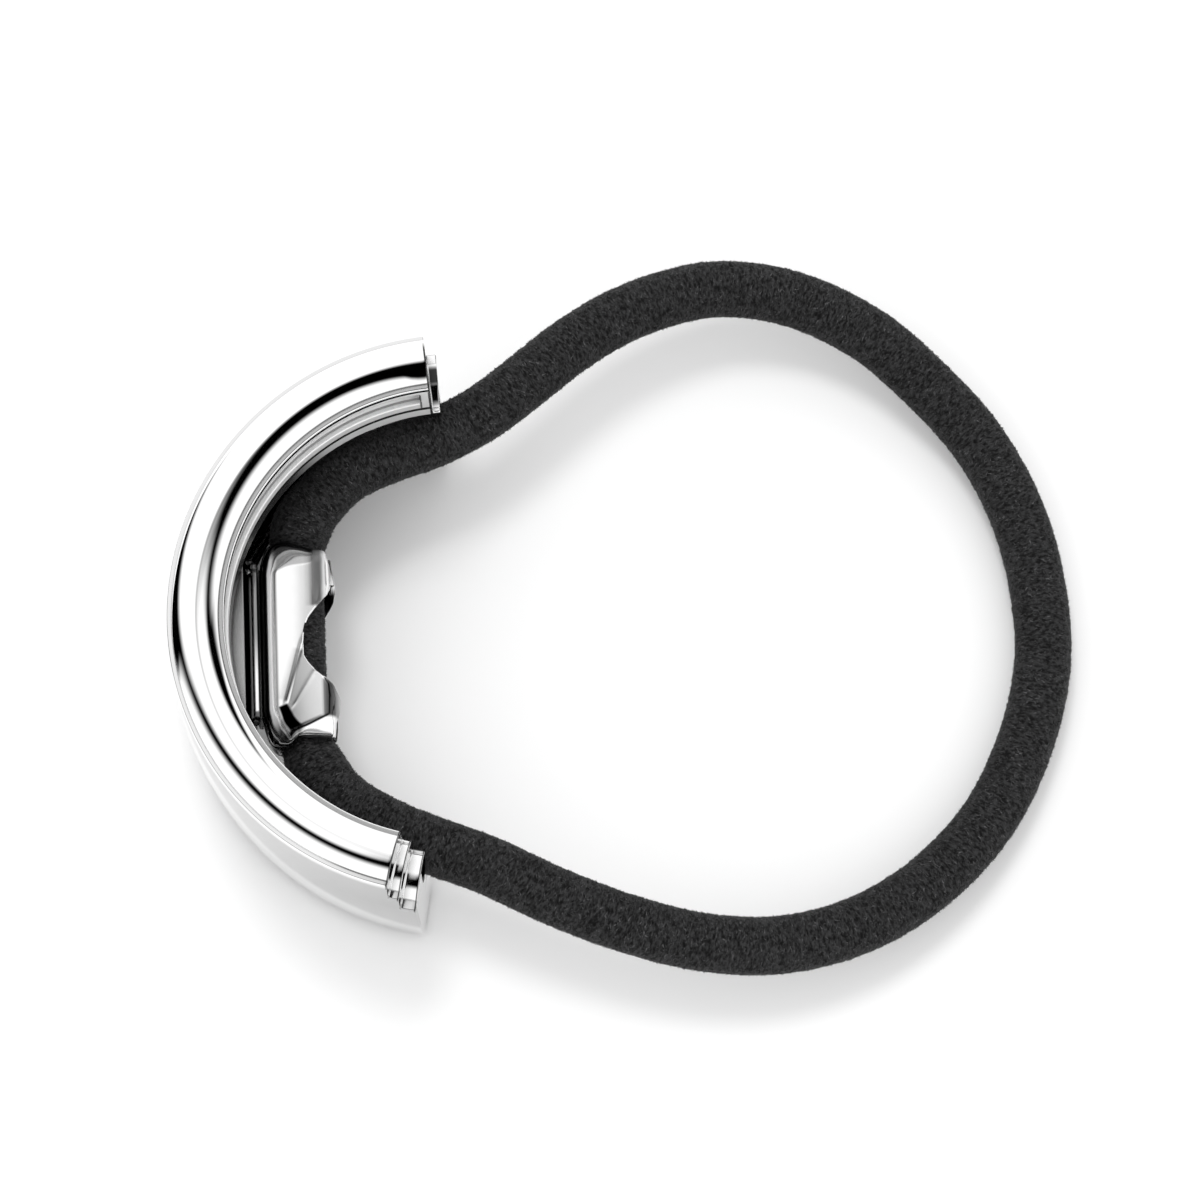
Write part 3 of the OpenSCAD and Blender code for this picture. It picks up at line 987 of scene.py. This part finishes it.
def pressed_painted_light_and_solder(tree):
    """Painted reflections and painted shade of a pressed sheet: soft bands where it turns down, on its teeth, along
    its creases and in its dent, and the solder's own darker tone.
    """
    nx, ny, nz = parts_of(tree, "Normal")
    x, y, z = parts_of(tree, "Object")
    c, s = cos(PAD_TURN) / MM, sin(PAD_TURN) / MM
    across, ahead, rise = x * c + y * s, y * c - x * s, z / MM - MID_Z
    near, far = above(rise, 0.5, 0.3), below(rise, -0.4, 0.2)

    # The bends, told apart by where the surface looks, and the teeth, which get painted reflections by tilt and by
    # place
    tilt = maths("ARCCOSINE", maths("MINIMUM", abs(nz), 1.0)) * DEGREES
    level = larger(length_of(nx, ny), 1e-4)
    east, north = nx / level, ny / level
    up_end = both(above(north, 0.65, 0.25), below(across, -9.9, 0.3), above(ahead, 3.5, 0.5))
    low_end = both(below(north, -0.6, 0.25), below(across, -10.9, 0.3), below(ahead, -4.9, 0.3))
    back = both(below(east, -0.5, 0.25), below(across, -12.2, 0.15), 1 - larger(up_end, low_end))
    upper_tooth = both(near, between(ahead, 2.25, 6.6, 0.12))
    lower_tooth = both(near, between(ahead, -5.55, -2.9, 0.15))
    share = 1.0
    for mark, value, tones in ((back, tilt, BACK_REFLECTION_TONES), (up_end, tilt, UPPER_END_REFLECTION_TONES), (low_end, tilt, LOWER_END_REFLECTION_TONES),
                               (upper_tooth, across, UPPER_TOOTH_REFLECTION_TONES), (lower_tooth, across, LOWER_TOOTH_REFLECTION_TONES)):
        share = lessen(share, (mark, 1 - tones_along(value, tones)))

    # The creases and the dent: painted shade lines along the creases and painted shade in the dent
    u, v = seen_from(FIRST_CREASE_SPOT, across, ahead)
    crease_painted_shade = both(near, between(u, -1.9, 1.85, 0.15))
    share = lessen(share, (both(crease_painted_shade, between(v, -0.09, 0.09, 0.09)), 0.8),
                   (both(crease_painted_shade, between(v, 0.05, 0.45, 0.4)), 0.4))
    u, v = seen_from(SECOND_CREASE_SPOT, across, ahead)
    share = lessen(share, (both(near, between(u, -0.85, 0.8, 0.2), between(v, -0.08, 0.08, 0.1)), 0.72 - u * 0.25))
    u, v = seen_from(DENT_SPOT, across, ahead)
    v = v - larger(u, 0.0) ** 2.0 * 0.25
    dent_painted_shade = both(near, between(u, -0.88, 0.95, 0.09), above(u * 0.08 + 0.4 - abs(v), 0.0, 0.1))

    # Painted shade inside the far flap, on its tooth and on the plate's strip; the solder is its own duller, darker
    # metal
    far_inside_painted_shade = both(far, above(nz, 0.3, 0.15))
    far_tooth_painted_shade = both(far, between(ahead, 2.2, 6.6, 0.1), between(across, -9.15, -8.74))
    solder = both(below(across, -13.9, 0.05), above(abs(ahead), 4.95, 0.1), above(rise, 0.5))
    strip = both(between(across, -14.3, -13.75), above(ahead, -1.0, 2.0), below(abs(ahead), 5.2))
    share = lessen(share, (dent_painted_shade, 1.0), (far_inside_painted_shade, 0.93), (far_tooth_painted_shade, 0.95), (solder, 0.75), (strip, 0.7))
    bend = both(near, back, between(tilt, 19, 33, 2.5), 0.75)
    tooth = both(upper_tooth, between(across, -9.95, -9.1, 0.08), 0.7)
    return share, near * 0.07 + solder * 0.3, larger(bend, tooth)


# Where the ring ends as the material measures its turn, and the feet of the dome
UPPER_TURN = UPPER_END - 180
LOWER_TURN = LOWER_END - 180
FOOT_IN = MID_R - DOME_W / 2
FOOT_OUT = MID_R + DOME_W / 2


def rim_painted_light_and_satin(tree):
    """Satin lips, ledges and channel; the lips and the pad's top also painted greyer, painted shade lines at the foot
    of each dome, in corners and at the ends, and painted reflections that grey the outer wall.
    """
    x, y, z = parts_of(tree, "Object")
    r, turn = length_of(x, y) / MM, angle_of(y * -1.0, x * -1.0)
    rise = z / MM - MID_Z
    height = abs(rise)
    flat = above(abs(parts_of(tree, "Normal")[2]), 0.9, 0.05)
    upright = 1 - flat
    body = between(turn, UPPER_TURN, LOWER_TURN, 0.1)
    inner_face = below(r, IN_R + 0.1)
    behind_face = below(r, CHANNEL_R + 0.1)
    past_upper = lambda low, high, soft: between(turn, UPPER_TURN + low, UPPER_TURN + high, soft)

    # Satin places; the lips are also greyed by a painted reflection and the pad's top by painted shade
    inner_lip = both(flat, body, below(r, FOOT_IN - 0.01, 0.02), above(height, 8.0))
    outer_lip = both(flat, body, above(r, FOOT_OUT + 0.01, 0.02), above(height, 8.0))
    pad_top = both(flat, between(height, 1.0, 2.4), between(r, 14.0, 17.3))
    inside = both(below(r, CHANNEL_R + 0.1, 0.05), between(rise, 2.75, 8.15, 0.05), body)

    # Painted shade: dark lines and faces at the dome feet, in corners, under the lip, under the elastic and at the
    # ends
    painted_shadow_under_elastic = both(below(r, IN_R + SEAT_D + 0.1), below(rise, 2.75), above(rise, -8.4),
                         between(turn, -62, -13, 6), 1 - pad_top)
    inner_foot = both(body, between(r, FOOT_IN - 0.03, FOOT_IN + 0.04, 0.03))
    outer_foot = between(r, FOOT_OUT - 0.04, FOOT_OUT + 0.03, 0.03)
    under_lip = both(upright, inner_face, between(height, 8.15, 8.5), body)
    over_land = both(upright, inner_face, between(height, 4.1, 4.6))
    land_painted_shade = both(inner_face, between(height, 2.7, 4.2), above(turn, -50, 10))
    upper_bar = both(past_upper(-0.1, 0.6, 0.1), inner_face, between(height, 2.7, 8.0))
    channel_end = both(upright, past_upper(2.4, 2.9, 0.1), between(height, 4.6, 7.5), behind_face)
    back_line = both(upright, between(r, IN_R + SHELF - 0.05, CHANNEL_R + 0.1),
                     between(height, 4.9, 5.3), between(turn, UPPER_TURN + 2.4, LOWER_TURN - 0.4, 0.1))
    upper_edge = both(past_upper(-0.02, 0.4, 0.06), above(height, 7.7), below(r, 18.7, 0.4))
    lower_edges = both(between(turn, LOWER_TURN - 0.35, LOWER_TURN, 0.08), above(rise, 7.9))
    for length, foot in ((LOWER_STEP_A, 5.3), (LOWER_STEP_A + LOWER_STEP_B, 2.7)):
        at = LOWER_TURN + along(length)
        lower_edges = larger(lower_edges, both(between(turn, at - 0.4, at - 0.12, 0.08), above(rise, foot)))

    # The upper end and the outer wall, greyed by painted reflections: the wall all over, more near the ends and
    # towards the bottom at its back
    tip = below(turn, UPPER_TURN - 0.15, 0.1)
    lozenge_painted_reflection = both(tip, between(r, MID_R - 0.2, MID_R + 1.3, 0.3), soft_step(rise, -9.5, -4) * 0.6 + 0.4)
    tip_painted_reflection = both(tip, between(r, MID_R - 1.5, MID_R - 0.2, 0.15))
    wall = both(upright, above(r, OUT_R + 0.05))
    lower_back_painted_reflection = both(soft_step(rise * -1.0, -7, 9), below(turn, -5, 20))
    low_wall_painted_reflection = both(wall, soft_step(abs(turn) - (64.0 - rise * 5.5), -8, 4))

    # Each mark below lessens the tone as painted shade and painted reflections
    share = lessen(
        1.0, (inner_lip, 0.47), (outer_lip, 0.2), (pad_top, 0.42), (inner_foot, 0.75), (under_lip, 0.96),
        (over_land, 0.97), (land_painted_shade, 0.95), (painted_shadow_under_elastic, 0.93), (upper_bar, 0.95), (channel_end, 0.8),
        (back_line, 0.7), (upper_edge, 0.93), (lower_edges, 0.85), (lozenge_painted_reflection, 0.96), (tip_painted_reflection, 0.65),
        (low_wall_painted_reflection, 0.47), (wall, lower_back_painted_reflection * 0.3 + 0.11), (outer_foot, both(above(turn, 65, 4), body) * 0.7 + 0.12))
    return share, larger(larger(inner_lip, pad_top), inside) * 0.22, inside * 0.7


# The cover: how its stitches are drawn out along and round the elastic, and how the tone of a fibre varies
STITCH_SCALE = (5.5, 2.6, 2.6)
STITCH_TONES = [(0.38, (0.004, 0.004, 0.004)), (0.62, (0.046, 0.046, 0.047))]
STITCH_HEIGHT = 0.12
FIBRE_TONES = (0.75, 1.5, 2.5)


def covered_elastic():
    """Matt knitted cover: short light and dark stitches that run round the tube, and fibres over them."""
    made, tree, shader = material("elastic_cover", Roughness=0.95, Sheen_Weight=0.1, Sheen_Roughness=0.4,
                                  Specular_IOR_Level=0.15)
    way = result(tree, "Attribute", output="Vector", attribute_name="way")
    drawn_out = result(tree, "VectorMath", (way, STITCH_SCALE), operation="MULTIPLY")
    stitch = noise_texture(tree, 1.0, 3, 0.6, drawn_out)
    least, more, power = FIBRE_TONES
    fibre = result(tree, "NewGeometry", output="Random Per Island") ** power * more + least
    tones = {0: colour_ramp(stitch, STITCH_TONES), "Scale": fibre}
    feed(shader.inputs["Base Color"], result(tree, "VectorMath", tones, operation="SCALE"))
    raised(shader, stitch, STITCH_HEIGHT)
    return made


# Studio: white floor, soft key light, and white surround with one dark arc for the metal to mirror. The arc is in
# degrees of tilt from straight up: its middle, and where it starts and ends on each spoke round that middle.
ARC_MIDDLE = (-8.0, 50.0)
ARC_SPAN = 110.0
ARC_ENDS = (-103.0, 92.0)
ARC_REACH = 100.0
ARC_INSIDE = [
    (-110, 61), (-90, 65), (-60, 67), (-45, 66), (-30, 62), (-18, 62), (-4, 65), (2, 58), (8, 47), (14, 43), (20, 46),
    (30, 51), (37, 56), (45, 59), (52, 60), (60, 57.5), (72, 55), (82, 52.5), (92, 49), (110, 42),
]
ARC_OUTSIDE = [
    (-110, 66), (-90, 74), (-75, 82), (-62, 91), (-55, 76), (-49, 70), (-38, 67), (-20, 68), (-8, 72), (0, 76),
    (8, 96), (11, 80), (15, 71), (21, 65), (40, 62.5), (52, 63), (62, 66), (68, 71), (76, 71), (84, 61), (92, 50),
    (110, 42),
]
FLOOR_SIZE = 3
FLOOR_TONE = (0.92, 0.92, 0.92, 1)
# Light of the surround as the metal mirrors it, and for everything else
SKY = 1.12
ROOM = 1.1
KEY_AIM = Vector((0.010, 0, 0))
KEY_FROM = Vector((-0.13, 0.36, 1.0))
KEY_DISTANCE = 0.6
KEY_SIZE = 0.16
KEY_ENERGY = 0.84


def add_floor():
    bpy.ops.mesh.primitive_plane_add(size=FLOOR_SIZE)
    floor = bpy.context.object
    floor.name = "floor"
    made, _, _ = material("floor", Roughness=1.0, Specular_IOR_Level=0.0, Base_Color=FLOOR_TONE)
    floor.data.materials.append(made)


def curve_through(value, places):
    """A smooth curve through places given as (spoke, distance), both in degrees."""
    node = add_node(value.tree, "FloatCurve", {"Value": value})
    curve = node.mapping.curves[0]
    spots = [(0.5 + spoke / (2 * ARC_SPAN), distance / ARC_REACH) for spoke, distance in places]
    curve.points[0].location, curve.points[-1].location = spots[0], spots[-1]
    for spot in spots[1:-1]:
        curve.points.new(*spot)
    node.mapping.update()
    return Value(node.outputs["Value"]) * ARC_REACH


def add_surround():
    world = bpy.data.worlds.new("studio")
    bpy.context.scene.world = world
    world.use_nodes = True
    tree = world.node_tree
    tree.nodes.clear()
    x, y, z = parts_of(tree, "Generated")
    tilt = maths("ARCCOSINE", z) * DEGREES
    flat = larger(length_of(x, y), 1e-5)
    right, down = tilt * (x / flat) - ARC_MIDDLE[0], ARC_MIDDLE[1] - tilt * (y / flat)
    spoke, distance = angle_of(right, down), length_of(right, down)
    share = spoke / (2 * ARC_SPAN) + 0.5
    inside, outside = curve_through(share, ARC_INSIDE), curve_through(share, ARC_OUTSIDE)
    dark = soft_step(distance, inside - 12.0, inside + 1.0) * (1 - soft_step(distance, outside - 2.0, outside + 17.0))
    ends = above(spoke, ARC_ENDS[0], 6) * below(spoke, ARC_ENDS[1], 4)
    glossy = result(tree, "LightPath", output="Is Glossy Ray")
    light = glossy * ((1 - dark * ends) * SKY) + (1 - glossy) * ROOM
    back = result(tree, "Background", {"Color": (1, 1, 1, 1), "Strength": light})
    add_node(tree, "OutputWorld", {"Surface": back})


def add_key_light():
    data = set_up(bpy.data.lights.new("key", "AREA"), shape="DISK", size=KEY_SIZE, energy=KEY_ENERGY)
    key = add_object("key", data)
    key.location = KEY_AIM + KEY_FROM.normalized() * KEY_DISTANCE
    key.rotation_euler = (KEY_AIM - key.location).to_track_quat("-Z", "Y").to_euler()
    key.visible_glossy = False


# Build the pieces
elastic, cover_way, middle_line, elastic_length = build_elastic()
nap, nap_way = build_nap(middle_line)
join(elastic, nap)
way_of = elastic.data.attributes.new("way", "FLOAT_VECTOR", "POINT")
way_of.data.foreach_set("vector", np.vstack([cover_way, nap_way]).ravel())
smooth_shading(elastic)
complete(elastic, "elastic_cord", covered_elastic())
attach(elastic, "root")
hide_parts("elastic")

cuff = build_cuff()
unite(cuff, *build_pad())
smooth_shading(cuff)
even_ends(cuff)
weigh_normals(cuff)
complete(cuff, "cuff_cast", polished_metal("cuff_metal", 0.96, 0.03, 0.004, rim_painted_light_and_satin))
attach(cuff, "root")
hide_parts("cuff")

clip = build_sheet()
unite(clip, *build_plate())
smooth_shading(clip)
weigh_normals(clip)
complete(clip, "clip_folded", polished_metal("clip_metal", 0.95, 0.04, 0.01, pressed_painted_light_and_solder))
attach(clip, "root")
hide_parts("clip")

add_floor()
add_surround()
add_key_light()
set_up(bpy.context.scene.view_settings, view_transform="Standard", look="None")
